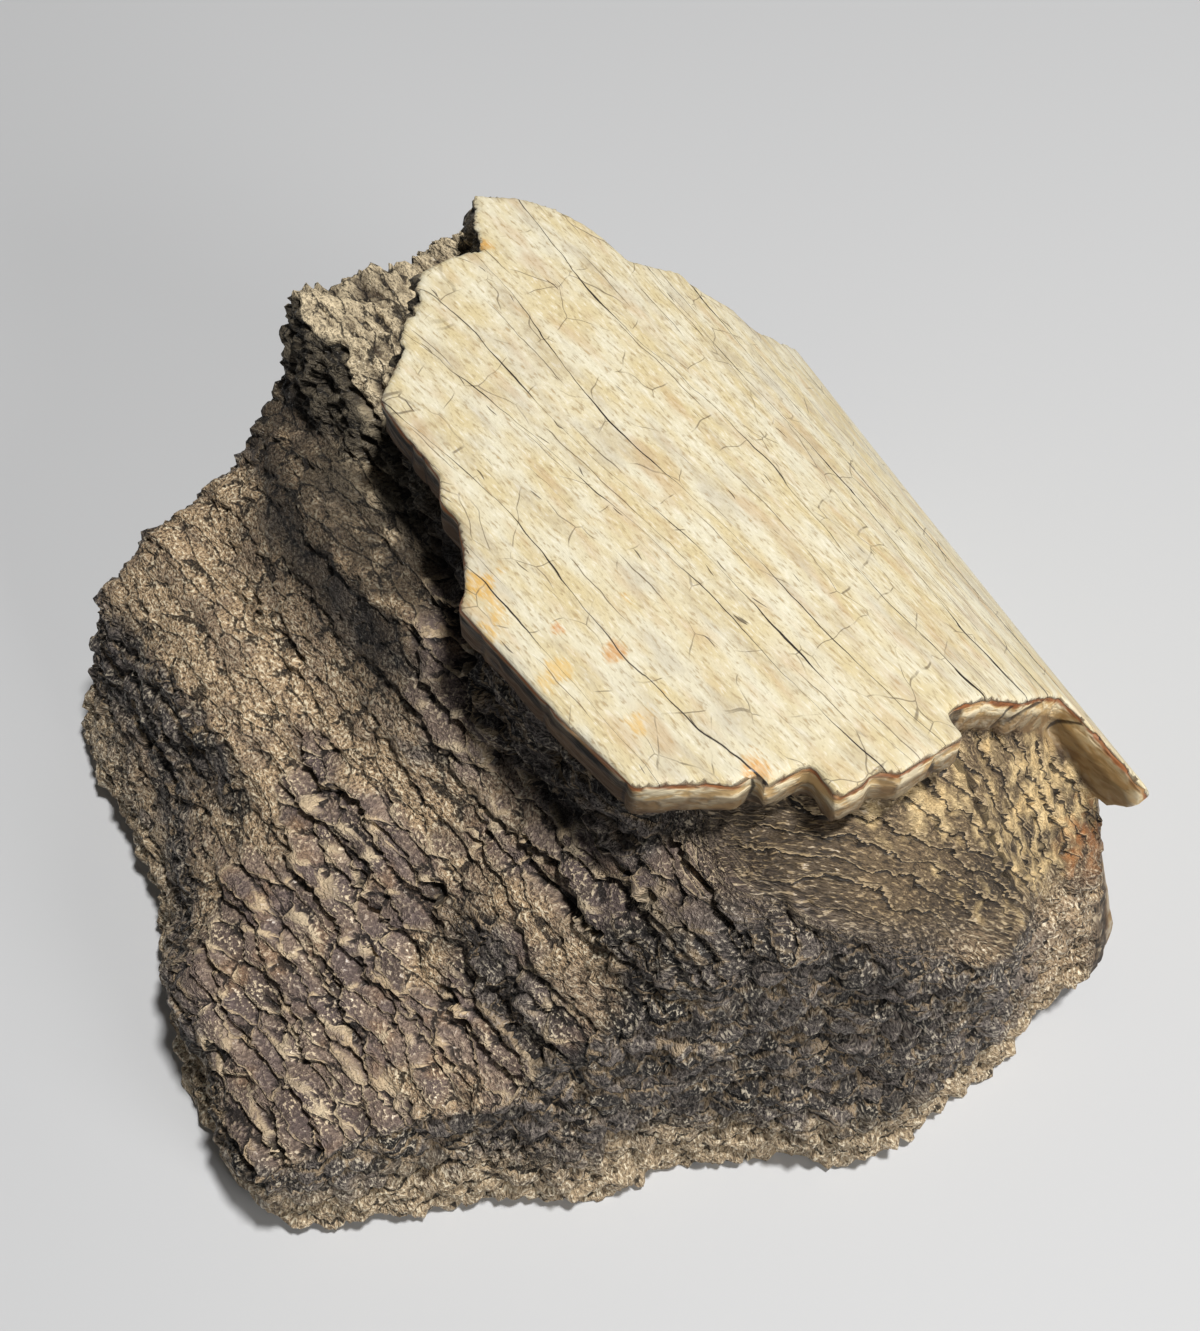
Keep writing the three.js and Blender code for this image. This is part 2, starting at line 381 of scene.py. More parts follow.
# The broken edge of the cortex.
EDGE_TAN = rgb(216, 182, 128)
EDGE_PALE = rgb(252, 236, 198)
EDGE_OCHRE = rgb(150, 120, 82)
EDGE_FOOT = rgb(96, 72, 48)
EDGE_RUST = rgb(150, 84, 38)
EDGE_SPLIT = rgb(44, 34, 28)
# painted shade on the cortex's broken edge along the open side, under the plate
OPEN_EDGE_SHADE = rgb(24, 20, 17)

# The layers of the near ledge, brown, woody and rusty, and painted shade in the groove below each
# layer's step.
LAYER_DARK = rgb(72, 60, 47)
LAYER_BROWN = rgb(150, 128, 98)
LAYER_SMOKY = rgb(54, 47, 42)
LAYER_PALE = rgb(196, 172, 134)
LAYER_GAP = rgb(34, 28, 23)
LAYER_BROW = rgb(206, 182, 144)
LAYER_GROOVE_SHADE = rgb(26, 21, 17)
WOOD_TAN = rgb(226, 188, 126)
WOOD_PALE = rgb(255, 232, 182)
WOOD_GAP = rgb(128, 98, 60)
RUST_PATCH = rgb(184, 124, 72)

# The outside of the cortex.
CREAM = rgb(231, 224, 198)
BUFF = rgb(220, 204, 160)
FIBRE_BROWN = rgb(166, 147, 116)
FIBRE_WHITE = rgb(246, 240, 222)
MOTTLE_GREY = rgb(186, 176, 158)
MOTTLE_TAN = rgb(200, 166, 122)
PLAIN_STAIN = rgb(228, 190, 120)
HAIRLINE = rgb(112, 98, 78)
SHORT_CRACK = rgb(84, 68, 50)
LONG_CRACK = rgb(40, 31, 24)
DASH_BROWN = rgb(66, 51, 38)

FLOOR_GREY = rgb(206, 208, 211)


# ---- patterns, shared by the relief and the material ------------------------------------

def cells(tree, place, steep, spots=None):
    """Overlapping scales, each highest at its -Y edge, or on steep faces at its +Z edge.

    place is the position in cells, and spots is the one whose cells' centres are used, if that
    is another. level and tint are random for each cell, and spot is the distance to its centre.
    """
    centres = spots or place
    cell = add(tree, "ShaderNodeTexVoronoi", {"Vector": centres, "Scale": 1.0})
    inside = parts_of(tree, vector_node(tree, "SUBTRACT", centres, cell.outputs["Position"]))
    wall = add(tree, "ShaderNodeTexVoronoi", {"Vector": place, "Scale": 1.0}, feature="DISTANCE_TO_EDGE")
    color = parts_of(tree, cell.outputs["Color"])
    lean = plus(tree, times(tree, inside[1], minus(tree, steep, 1.0)), times(tree, inside[2], steep))
    return {"level": color[0], "tint": color[1], "lean": lean, "spot": cell.outputs["Distance"],
            "wall": wall.outputs["Distance"]}


def rim_and_groove(tree, cell, width, ragged=0.0):
    """The raised rim of each scale, and the groove along its other side."""
    near = ramp(tree, plus(tree, cell["wall"], ragged), width, 0.25 * width)
    return (times(tree, near, ramp(tree, cell["lean"], -0.02, 0.12)),
            times(tree, near, ramp(tree, cell["lean"], 0.04, -0.1)))


def terrace_line(tree, at, spacing):
    """Counts long wandering terraces across their run, X, one to each whole number."""
    size = (4.2 * spacing, 1.4 * spacing, 1.4 * spacing)
    shake = noise(tree, at, size, detail=3.0, roughness=0.6, shift=8.0)
    across = plus(tree, parts_of(tree, at)[1], times(tree, minus(tree, shake, 0.5), 2.5 * spacing))
    return times(tree, across, 1 / spacing)


def terrace_edges(tree, line):
    """The height of a terrace, which falls from its -Y edge, its rim there, and the groove below."""
    part = math_node(tree, "FRACT", line)
    return rest_of(tree, part), ramp(tree, part, 0.09, 0.03), ramp(tree, part, 0.84, 0.94)


def folded(tree, value, width):
    """Noise folded into crests: 1 along a crest, and 0 from that width away."""
    return ramp(tree, math_node(tree, "ABSOLUTE", minus(tree, value, 0.5)), width, 0.0)


def crumbly_share(tree, at):
    """Where spongy bone broke to crumbs: the shelf's far side and valley, and the near face."""
    x, y, _ = parts_of(tree, at)
    patch = noise(tree, at, CRUMBLY_PATCH, detail=3.0, shift=3.0)
    from_valley = math_node(tree, "ABSOLUTE", plus(tree, y, -VALLEY_AT))
    valley = times(tree, ramp(tree, from_valley, VALLEY_REACH, 0.0), 0.18)
    far = ramp(tree, x, *CRUMBLY_FAR_X, 0.0, 0.3)
    near = ramp(tree, x, *CRUMBLY_NEAR_X, 0.0, 0.4)
    return ramp(tree, plus(tree, patch, valley, far, near), 0.56, 0.68)


def crack(tree, across, bend, spacing, shift):
    """Distance in millimetres to the nearest of a set of cracks along the grain."""
    line = plus(tree, times(tree, plus(tree, across, bend), 1 / spacing), shift)
    cell = add(tree, "ShaderNodeTexVoronoi", {"W": line, "Scale": 1.0}, voronoi_dimensions="1D",
               feature="DISTANCE_TO_EDGE")
    return times(tree, cell.outputs["Distance"], spacing)


def cracks(tree, across, slow, bend, opened):
    """Long cracks along the grain, shorter finer ones between them, and valleys at the long ones.

    bend says how far they wander, slow is the broadest part of it, and opened says where they
    are wide.
    """
    main = crack(tree, across, bend, CRACK_SPACING, 4.0)
    width = ramp(tree, opened, 0.4, 0.75, 0.02, 0.14)
    long_crack = ramp(tree, minus(tree, main, width), 0.03, -0.04)
    valley = times(tree, ramp(tree, main, 0.5, 0.0), ramp(tree, opened, 0.5, 0.72))
    fine = crack(tree, across, plus(tree, times(tree, slow, -0.7), bend), FINE_CRACK_SPACING, 9.0)
    width = ramp(tree, opened, 0.55, 0.35, -0.05, 0.05)
    return long_crack, ramp(tree, minus(tree, fine, width), 0.02, -0.04), valley


# ---- the fine copy of the solid ---------------------------------------------------------

def plain_mesh(obj, name):
    """The evaluated object as a mesh of its own, with no modifiers."""
    graph = bpy.context.evaluated_depsgraph_get()
    mesh = bpy.data.meshes.new_from_object(obj.evaluated_get(graph))
    mesh.name = name
    return mesh


def piece_from(mesh, name):
    obj = bpy.data.objects.new(name, mesh)
    bpy.context.scene.collection.objects.link(obj)
    return obj


def replace_mesh(obj):
    """Applies all modifiers of obj."""
    mesh = plain_mesh(obj, obj.name)
    old = obj.data
    obj.modifiers.clear()
    obj.data = mesh
    bpy.data.meshes.remove(old)


def fine_copy(node):
    """A copy of a CAD node with its loose triangles merged, remeshed to small quads."""
    obj = piece_from(node.data.copy(), "fossil_bone")
    weld = obj.modifiers.new("weld", "WELD")
    weld.merge_threshold = 0.01 * MM
    remesh = obj.modifiers.new("remesh", "REMESH")
    remesh.mode = "VOXEL"
    remesh.voxel_size = VOXEL * MM
    replace_mesh(obj)
    return obj


def positions(mesh):
    co = np.empty(len(mesh.vertices) * 3, np.float32)
    mesh.vertices.foreach_get("co", co)
    return co.reshape(-1, 3) / MM


def normals(mesh):
    no = np.empty(len(mesh.vertices) * 3, np.float32)
    mesh.vertex_normals.foreach_get("vector", no)
    return no.reshape(-1, 3)


def set_positions(mesh, at):
    mesh.vertices.foreach_set("co", (at * MM).astype(np.float32).ravel())
    mesh.update()


def set_attribute(mesh, name, values):
    """Stores one value, or one vector, at each vertex."""
    kind, field = ("FLOAT_VECTOR", "vector") if values.ndim == 2 else ("FLOAT", "value")
    layer = mesh.attributes.new(name, kind, "POINT")
    layer.data.foreach_set(field, values.astype(np.float32).ravel())


def smooth_step(values, low, high):
    t = np.clip((values - low) / (high - low), 0, 1)
    return t * t * (3 - 2 * t)


def arch(at):
    """For each point, its grain position (x, across, depth) and the arch's normal there.

    Across runs round the cortex's outer surface from its crest, and depth is under it.
    """
    x, y, z = at.T
    width = ROLL_WIDTH - ROLL_TAPER * x
    past = (y - ROLL_FROM) / width
    rise = z - (CREST - ROLL_RADIUS)
    quarter = ROLL_RADIUS * math.pi / 2
    turn = ROLL_RADIUS * np.arctan2(past, np.maximum(rise, 0.001))
    is_open, is_wall = past < 0, rise < 0
    open_depth = CREST - (y - ROLL_FROM) ** 2 / OPEN_SIDE_BEND - z
    depth = np.where(is_open, open_depth,
                     np.where(is_wall, ROLL_RADIUS - past, ROLL_RADIUS - np.hypot(past, rise)))
    across = np.where(is_open, y - ROLL_FROM, np.where(is_wall, quarter - rise, turn))
    ny = np.where(is_open, 2 * (y - ROLL_FROM) / OPEN_SIDE_BEND, past / width)
    nz = np.where(is_open, 1.0, np.maximum(rise, 0))
    normal = np.stack([np.zeros_like(ny), ny, nz], -1)
    normal /= np.linalg.norm(normal, axis=1)[:, None]
    return np.stack([x, across, depth], -1), normal


def turned(at, degrees):
    """The positions on axes turned that far round Z."""
    c, s = math.cos(math.radians(degrees)), math.sin(math.radians(degrees))
    x, y, z = at.T
    return np.stack([c * x + s * y, c * y - s * x, z], -1)


def true_up_cortex(mesh):
    """Lays the outer surface of the cortex on its arch, and marks where it is."""
    at = positions(mesh)
    grain, normal = arch(at)
    depth = grain[:, 2]
    facing = (normals(mesh) * normal).sum(1)
    outer = (np.abs(depth) < 0.35) & (facing > 0.85)
    at[outer] += normal[outer] * depth[outer, None]
    set_positions(mesh, at)
    return outer


def mark(obj, name, marked):
    """A vertex group with the marked vertices at weight 1 and the others at 0."""
    group = obj.vertex_groups.get(name) or obj.vertex_groups.new(name=name)
    for weight, chosen in ((0.0, ~marked), (1.0, marked)):
        group.add(np.flatnonzero(chosen).tolist(), weight, "REPLACE")


def soften(obj, keep, turns):
    """Smooths the solid's facets away, but not where keep is marked."""
    mark(obj, "loose", ~keep)
    smooth = obj.modifiers.new("smooth", "SMOOTH")
    smooth.factor = 0.5
    smooth.iterations = turns
    smooth.vertex_group = "loose"
    replace_mesh(obj)


def rings_from(mesh, marked, rings):
    """How many rings of neighbours each vertex is from a marked one, up to rings + 1."""
    edges = np.empty(len(mesh.edges) * 2, np.int32)
    mesh.edges.foreach_get("vertices", edges)
    a, b = edges.reshape(-1, 2).T
    away = np.where(marked, 0, rings + 1)
    for ring in range(1, rings + 1):
        reached = np.zeros(len(marked), bool)
        reached[b[away[a] < ring]] = True
        reached[a[away[b] < ring]] = True
        away[reached & (away > ring)] = ring
    return away


# ---- relief -----------------------------------------------------------------------------

# Heights are worked out around 0, so that the piece keeps the solid's size.

def named(tree, name, kind="FLOAT"):
    node = add(tree, "GeometryNodeInputNamedAttribute", data_type=kind)
    node.inputs["Name"].default_value = name
    return node.outputs["Attribute"]


def store(tree, geometry, fields, kind="FLOAT"):
    """Stores each field at the vertices, as an attribute of its name."""
    for name, value in fields.items():
        inputs = {"Geometry": geometry, "Name": name, "Value": value}
        node = add(tree, "GeometryNodeStoreNamedAttribute", data_type=kind, domain="POINT")
        for key, content in inputs.items():
            put(tree, node.inputs[key], content)
        geometry = node.outputs[0]
    return geometry


def ridges(tree, at):
    """Ridges along the grain, 1 along their crests and 0 between them."""
    return folded(tree, noise(tree, at, RIDGE, detail=3.0, roughness=0.6, shift=8.0), 0.16)


def far_block(tree, at):
    """Share of the block of coarse ridges at the far end."""
    x, _, z = parts_of(tree, at)
    return times(tree, ramp(tree, x, *FAR_BLOCK_FROM), ramp(tree, z, *FAR_BLOCK_HEIGHT))


def spongy_fields(tree, at, facing, patchy):
    """What spongy bone is like at each place.

    line counts the terraces, drop is how much of a terrace's full step there is, and place is
    the position in scales or lumps.
    """
    steep = ramp(tree, plus(tree, facing[2], times(tree, minus(tree, patchy, 0.5), 0.5)), 0.5, 0.38)
    bent = warped(tree, warped(tree, at, *BROAD_BEND), *FINE_BEND)
    crumbly = crumbly_share(tree, at)
    far = far_block(tree, at)
    tall = ramp(tree, noise(tree, at, TERRACE_PATCH, detail=1.0, shift=9.0), 0.35, 0.6, 0.35, 1.0)
    kept = times(tree, ramp(tree, crumbly, 0.0, 1.0, 1.0, 0.4), rest_of(tree, far))
    return {
        "steep": steep,
        "bent": bent,
        "crumbly": crumbly,
        "far": far,
        "ridge": ridges(tree, at),
        "line": terrace_line(tree, bent, TERRACE_SPACING),
        "drop": times(tree, tall, rest_of(tree, steep), kept),
        "place": either(tree, steep, in_cells(tree, bent, SCALE), in_cells(tree, bent, LUMP)),
    }


def scale_edges(tree, scale):
    """Height of a scale's rim and groove, and of its own level."""
    rim, groove = rim_and_groove(tree, scale, 0.2)
    return plus(tree, times(tree, minus(tree, scale["level"], 0.6), SCALE_STEP),
                times(tree, rim, RIM_HEIGHT), times(tree, groove, -GROOVE_DEPTH))


def spongy_height(tree, at, soft):
    """Height in millimetres of broken spongy bone: terraced and scaly, or lumpy where steep."""
    crumbly, steep = soft["crumbly"], soft["steep"]
    scale = cells(tree, soft["place"], steep)
    edges = scale_edges(tree, scale)
    fall, _, deep = terrace_edges(tree, soft["line"])
    terrace = times(tree, plus(tree, fall, times(tree, deep, -0.3), -0.4), soft["drop"], TERRACE_STEP)
    scales = times(tree, plus(tree, edges, times(tree, scale["lean"], SCALE_LEAN)),
                   ramp(tree, crumbly, 0.0, 1.0, 1.0, 0.4))
    crumb = times(tree, minus(tree, noise(tree, at, CRUMB, detail=2.0, roughness=0.6), 0.5),
                  ramp(tree, crumbly, 0.0, 1.0, CRUMB_HEIGHT, 4.0 * CRUMB_HEIGHT))
    level = plus(tree, terrace, scales, crumb)
    crease = noise(tree, soft["bent"], LUMP, detail=3.0, roughness=0.6, shift=1.0)
    fold = times(tree, minus(tree, folded(tree, crease, 0.2), 0.6), 0.4 * LUMP_HEIGHT)
    dome = times(tree, minus(tree, 0.45, scale["spot"]), LUMP_HEIGHT)
    lumps = plus(tree, edges, dome, fold, crumb)
    return plus(tree, times(tree, level, rest_of(tree, steep)), times(tree, lumps, steep),
                times(tree, minus(tree, soft["ridge"], 0.5), soft["far"], RIDGE_HEIGHT))


def hard_height(tree, hard):
    """Height in millimetres of the cortex's broken edge, and of the layers along the ledge."""
    strata = noise(tree, hard["bent"], LAYER, detail=3.0, roughness=0.6)
    split = ramp(tree, walls(tree, hard["bent"], SPLIT), 0.05, 0.01)
    edge = plus(tree, minus(tree, strata, 0.6), times(tree, split, -0.8))
    fall, _, deep = terrace_edges(tree, hard["layers"])
    leaves = noise(tree, hard["streaks"], LEAF, detail=2.0, roughness=0.6)
    rough = times(tree, minus(tree, leaves, 0.5), 1.6)
    step = plus(tree, fall, times(tree, deep, -0.3), rough, -0.4)
    ledge = named(tree, "ledge")
    return plus(tree, times(tree, edge, rest_of(tree, ledge), STRATA_HEIGHT),
                times(tree, step, ledge, LAMELLA_STEP))


def stains(tree, at, ragged):
    """Colour of the cortex's stains at each place, and how strong they are there."""
    color, strength = PLAIN_STAIN, 0.0
    for centre, radius, stain in STAINS:
        share = blob(tree, at, centre, radius, ragged)
        color = mix(tree, share, color, rgb(*stain))
        strength = highest(tree, strength, share)
    return color, strength


def charred_share(tree, x, y, upright, cloud, far):
    """Steep spongy bone, more of it at the near end, but not the far block."""
    near = times(tree, ramp(tree, x, *NEAR_CHAR_X), ramp(tree, y, *NEAR_CHAR_Y), 0.25)
    bare = minus(tree, plus(tree, upright[2], times(tree, cloud[1], 0.6)), near)
    return times(tree, ramp(tree, bare, 1.05, 0.75), rest_of(tree, far))


def painted_shade_share(tree, x, y, high, upright, cloud):
    """Painted shade: the side of the step under the plate's open edge, and its foot at the far end."""
    side = times(tree, ramp(tree, upright[1], -0.35, -0.65), ramp(tree, high, *STEP_SIDE_Z),
                 ramp(tree, x, *STEP_SIDE_X, 0.2, 0.85))
    foot = times(tree, ramp(tree, x, *STEP_FOOT_X), ramp(tree, high, *STEP_FOOT_Z),
                 ramp(tree, high, *STEP_FOOT_TOP_Z), ramp(tree, y, *STEP_FOOT_Y),
                 ramp(tree, cloud[2], 0.64, 0.48, 0.0, 0.8))
    return highest(tree, side, foot)


def smoky_share(tree, y, high, cloud):
    """The lower part of the near ledge, and its part on the open side."""
    low = ramp(tree, plus(tree, high, times(tree, cloud[1], 6.0)), *SMOKY_Z, 0.0, 0.8)
    side = ramp(tree, plus(tree, y, times(tree, cloud[1], 10.0)), *SMOKY_Y, 0.0, 0.7)
    return highest(tree, low, side)


def finish_shares(tree, at, upright, cloud, far):
    """How much of its broad finishes and of its painted shade each place has, by name."""
    x, y, high = parts_of(tree, at)
    ragged_y = plus(tree, y, times(tree, cloud[2], 10.0))
    ragged_height = plus(tree, high, times(tree, cloud[0], 12.0))
    wood = [blob(tree, at, centre, radius, cloud[0]) for centre, radius in WOODY]
    return {
        "charred": charred_share(tree, x, y, upright, cloud, far),
        "painted_shade": painted_shade_share(tree, x, y, high, upright, cloud),
        "tan_side": ramp(tree, ragged_y, *TAN_SIDE_Y, 0.0, 0.75),
        "base_strip": ramp(tree, ragged_height, *BASE_STRIP_Z, 0.0, 0.85),
        "smoky": smoky_share(tree, y, high, cloud),
        "woody": highest(tree, *wood),
        "rusty": times(tree, blob(tree, at, *RUST, cloud[2]), 0.85),
        "open_edge_shade": times(tree, ramp(tree, upright[1], -0.4, -0.75), ramp(tree, x, *OPEN_SHADE_X)),
    }


def hard_fields(tree, grain):
    """What the cortex is like at each place. layers counts the layers of the near ledge."""
    streaks = warped(tree, named(tree, "turned", "FLOAT_VECTOR"), *LAYER_BEND)
    return {
        "bent": warped(tree, grain, *GRAIN_BEND),
        "streaks": streaks,
        "layers": terrace_line(tree, streaks, LAMELLA_SPACING),
    }


def crack_fields(tree, grain):
    """How far the cortex's cracks wander, and how wide they are open."""
    slow = wander(tree, grain, *SLOW_CRACK_BEND, detail=0.0)
    return {
        "slow": slow,
        "bend": plus(tree, slow, wander(tree, grain, *QUICK_CRACK_BEND, detail=2.0)),
        "opened": noise(tree, grain, OPEN_CRACK, detail=1.0, shift=2.0),
    }


def clouds(tree, at, grain):
    """Three noises in one, long along the grain on the cortex and round on spongy bone."""
    soft = math_node(tree, "GREATER_THAN", named(tree, "spongy"), 0.5)
    place = either(tree, soft, in_cells(tree, grain, CORTEX_CLOUD), in_cells(tree, at, SPONGY_CLOUD))
    return noise_node(tree, place, 1.0, detail=2.0, roughness=0.65, shift=5.0).outputs["Color"]


def cell_place(tree, soft, hard):
    """The position in scales, lumps, splits or hairlines, whichever the place has."""
    edge_place = in_cells(tree, hard["bent"], SPLIT)
    hard_place = either(tree, named(tree, "outer"), edge_place, in_cells(tree, hard["bent"], NET))
    return either(tree, named(tree, "spongy"), hard_place, soft["place"])


def relief_height(tree, at, grain, soft, hard, lines, sizes):
    """Height in millimetres of the whole relief, made of what each kind of surface has."""
    outer = named(tree, "outer")
    spongy = named(tree, "spongy")
    edge = times(tree, rest_of(tree, outer), rest_of(tree, spongy))
    _, _, valley = cracks(tree, parts_of(tree, grain)[1], **lines)
    height = plus(tree, times(tree, spongy_height(tree, at, soft), spongy, sizes["Spongy relief"]),
                  times(tree, hard_height(tree, hard), edge, sizes["Edge relief"]),
                  times(tree, valley, times(tree, outer, -1.0), sizes["Crack depth"]))
    return times(tree, height, rest_of(tree, named(tree, "flat")))


def relief_sizes(tree):
    """The tree's inputs and output. Returns the identifiers of its named sizes."""
    tree.interface.new_socket("Geometry", in_out="INPUT", socket_type="NodeSocketGeometry")
    tree.interface.new_socket("Geometry", in_out="OUTPUT", socket_type="NodeSocketGeometry")
    sizes = {}
    for name in ("Spongy relief", "Edge relief", "Crack depth", "Overhang"):
        socket = tree.interface.new_socket(name, in_out="INPUT", socket_type="NodeSocketFloat")
        sizes[name] = socket.identifier
    return sizes


def moved(tree, geometry, height, overhang):
    """The geometry moved out by a height in millimetres, and along Y by overhang times that."""
    normal = add(tree, "GeometryNodeInputNormal").outputs[0]
    direction = vector_node(tree, "ADD", normal, join(tree, 0.0, overhang, 0.0))
    shift = vector_node(tree, "SCALE", direction, times(tree, height, MM))
    return add(tree, "GeometryNodeSetPosition", {"Geometry": geometry, "Offset": shift}).outputs[0]


def relief_tree(material):
    """Moves the surface by the patterns of broken bone, and stores where they are."""
    tree = bpy.data.node_groups.new("bone_relief", "GeometryNodeTree")
    sizes = relief_sizes(tree)
    source = add(tree, "NodeGroupInput").outputs
    at = named(tree, "rest", "FLOAT_VECTOR")
    grain = named(tree, "grain", "FLOAT_VECTOR")
    facing = parts_of(tree, named(tree, "facing", "FLOAT_VECTOR"))
    patchy = noise(tree, at, PATCH, detail=2.0, shift=6.0)
    soft = spongy_fields(tree, at, facing, patchy)
    hard = hard_fields(tree, grain)
    lines = crack_fields(tree, grain)
    height = relief_height(tree, at, grain, soft, hard, lines, source)

    cloud_color = clouds(tree, at, grain)
    cloud = parts_of(tree, cloud_color)
    ragged = plus(tree, times(tree, cloud[2], 0.6), times(tree, patchy, 0.4))
    stain, stained = stains(tree, at, ragged)
    shares = {name: soft[name] for name in ("steep", "crumbly", "far", "ridge", "line", "drop")}
    shares |= lines | finish_shares(tree, at, facing, cloud, soft["far"])
    shares |= {"layers": hard["layers"], "stained": stained}
    vectors = {"place": cell_place(tree, soft, hard), "cloud": cloud_color, "stain": stain}
    geometry = store(tree, source["Geometry"], shares)
    geometry = store(tree, geometry, vectors, "FLOAT_VECTOR")

    overhang = times(tree, source["Overhang"], times(tree, named(tree, "spongy"), -1.0),
                     rest_of(tree, soft["steep"]))
    real = add(tree, "GeometryNodeRealizeInstances", {0: moved(tree, geometry, height, overhang)})
    painted = add(tree, "GeometryNodeSetMaterial", {"Geometry": real.outputs[0]})
    painted.inputs["Material"].default_value = material
    add(tree, "NodeGroupOutput", {0: painted.outputs[0]})
    return tree, sizes


def carve(obj, material):
    """Gives the piece its relief and its material."""
    tree, sizes = relief_tree(material)
    relief = obj.modifiers.new("relief", "NODES")
    relief.node_group = tree
    relief[sizes["Spongy relief"]] = 1.0
    relief[sizes["Edge relief"]] = 1.0
    relief[sizes["Crack depth"]] = CRACK_DEPTH
    relief[sizes["Overhang"]] = OVERHANG
    blend = obj.modifiers.new("blend", "SMOOTH")
    blend.factor = 0.4
    blend.iterations = 1
    replace_mesh(obj)


def thin_out(obj, most):
    """Collapses the flattest parts, but not the outside of the cortex, down to that many triangles."""
    triangles = sum(len(p.vertices) - 2 for p in obj.data.polygons)
    if triangles > most:
        decimate = obj.modifiers.new("thin_out", "DECIMATE")
        decimate.ratio = most / triangles
        decimate.vertex_group = "wearing"
        decimate.use_collapse_triangulate = True
        replace_mesh(obj)


# ---- the piece --------------------------------------------------------------------------

def zones(at, depth):
    """Shares of spongy bone, and of the layered ledge that breaks from the cortex's near end."""
    x, y, z = at.T
    top = z + 0.5 * np.clip(y - 2.0, -6.0, 20.0)  # the ledge's lower border falls along Y
    near = smooth_step(x, *LEDGE_FROM) * smooth_step(top, *LEDGE_HEIGHT)
    spongy = np.maximum(smooth_step(depth, *SPONGY_DEPTH) * (1 - near), smooth_step(x, *SPONGY_END))
    return spongy, near * smooth_step(depth, *LEDGE_DEPTH)


def smoothed_copy(node):
    """A fine copy of a CAD node without its facets, and which vertices are the cortex's outside."""
    obj = fine_copy(node)
    outer = true_up_cortex(obj.data)
    at = positions(obj.data)
    spongy, ledge = zones(at, arch(at)[0][:, 2])
    hard = (spongy < 0.5) & (ledge < 0.5)
    border = (rings_from(obj.data, outer, 2) <= 2) & (rings_from(obj.data, ~outer, 2) <= 2)
    soften(obj, ~border, BORDER_TURNS)
    soften(obj, outer, LIGHT_TURNS)
    soften(obj, hard | (rings_from(obj.data, outer, 3) <= 3), FACET_TURNS)
    return obj, outer


def describe(mesh, outer):
    """Stores at each vertex what the relief and the material need to know.

    flat is what the relief loses there, on the base and towards the cortex's rim.
    """
    at = positions(mesh)
    facing = normals(mesh)
    grain, _ = arch(at)
    spongy, ledge = zones(at, grain[:, 2])
    woody = at[:, 1] > WOODY_FROM
    base = smooth_step(-facing[:, 2], 0.6, 0.9) * smooth_step(at[:, 2], 1.0, 0.3)
    near_rim = np.where(outer, 0, 1 - rings_from(mesh, outer, RIM_RINGS) / (RIM_RINGS + 1))
    fields = {
        "rest": at,
        "grain": grain,
        "facing": facing,
        "outer": (rings_from(mesh, outer, 1) <= 1).astype(float),
        "spongy": np.where(outer, 0, spongy),
        "ledge": np.where(outer, 0, ledge),
        "turned": np.where(woody[:, None], turned(at, WOODY_TURN), turned(at, LEDGE_TURN)),
        "flat": np.maximum(base, near_rim),
    }
    for name, values in fields.items():
        set_attribute(mesh, name, values)


def bone_piece(node, material):
    obj, outer = smoothed_copy(node)
    describe(obj.data, outer)
    mark(obj, "wearing", rings_from(obj.data, outer, 1) > 1)
    carve(obj, material)
    thin_out(obj, MOST_TRIANGLES)
    low = np.array(cad_low) / MM
    high = np.array(cad_high) / MM
    set_positions(obj.data, np.clip(positions(obj.data), low, high))
    obj.data.polygons.foreach_set("use_smooth", np.ones(len(obj.data.polygons), bool))
    return obj


# ---- material ---------------------------------------------------------------------------

def attribute(tree, name, vector=False):
    node = add(tree, "ShaderNodeAttribute", attribute_name=name)
    return node.outputs["Vector" if vector else "Fac"]


def scale_color(tree, cell, rim, speck_and_glint, pore, cloud):
    top = mix(tree, cell["tint"], SCALE_DARK, SCALE_PALE)
    top = mix(tree, ramp(tree, cloud[1], 0.45, 0.6, 0.0, 0.8), top, SCALE_GREY)
    top = mix(tree, ramp(tree, cloud[2], 0.55, 0.7, 0.0, 0.5), top, SCALE_RUSTY)
    top = mix(tree, times(tree, speck_and_glint, ramp(tree, cloud[0], 0.46, 0.6, 0.25, 0.95)), top, SCALE_SPECK_GLINT)
    top = mix(tree, times(tree, pore, 0.6), top, SCALE_PORE)
    rim_color = mix(tree, cloud[0], RIM_TAN, IVORY)
    return mix(tree, times(tree, rim, ramp(tree, cloud[2], 0.3, 0.5, 0.5, 1.0)), top, rim_color)


def crumb_color(tree, speck_and_glint, pore, cloud):
    crumbs = mix(tree, speck_and_glint, CRUMB_TAN, IVORY)
    crumbs = mix(tree, ramp(tree, cloud[1], 0.5, 0.62, 0.0, 0.5), crumbs, CRUMB_BROWN)
    return mix(tree, times(tree, pore, 0.9), crumbs, CRUMB_PORE)


def charred_color(tree, cell, rim, speck_and_glint, pore, cloud):
    char = mix(tree, cell["tint"], CHARCOAL, ASH)
    char = mix(tree, times(tree, speck_and_glint, ramp(tree, cloud[0], 0.42, 0.6, 0.2, 0.9)), char, ASH_SPECK_GLINT)
    char = mix(tree, times(tree, rim, ramp(tree, cloud[2], 0.36, 0.56, 0.1, 0.8)), char, ASH_RIM)
    return mix(tree, times(tree, pore, 0.9), char, SOOT)


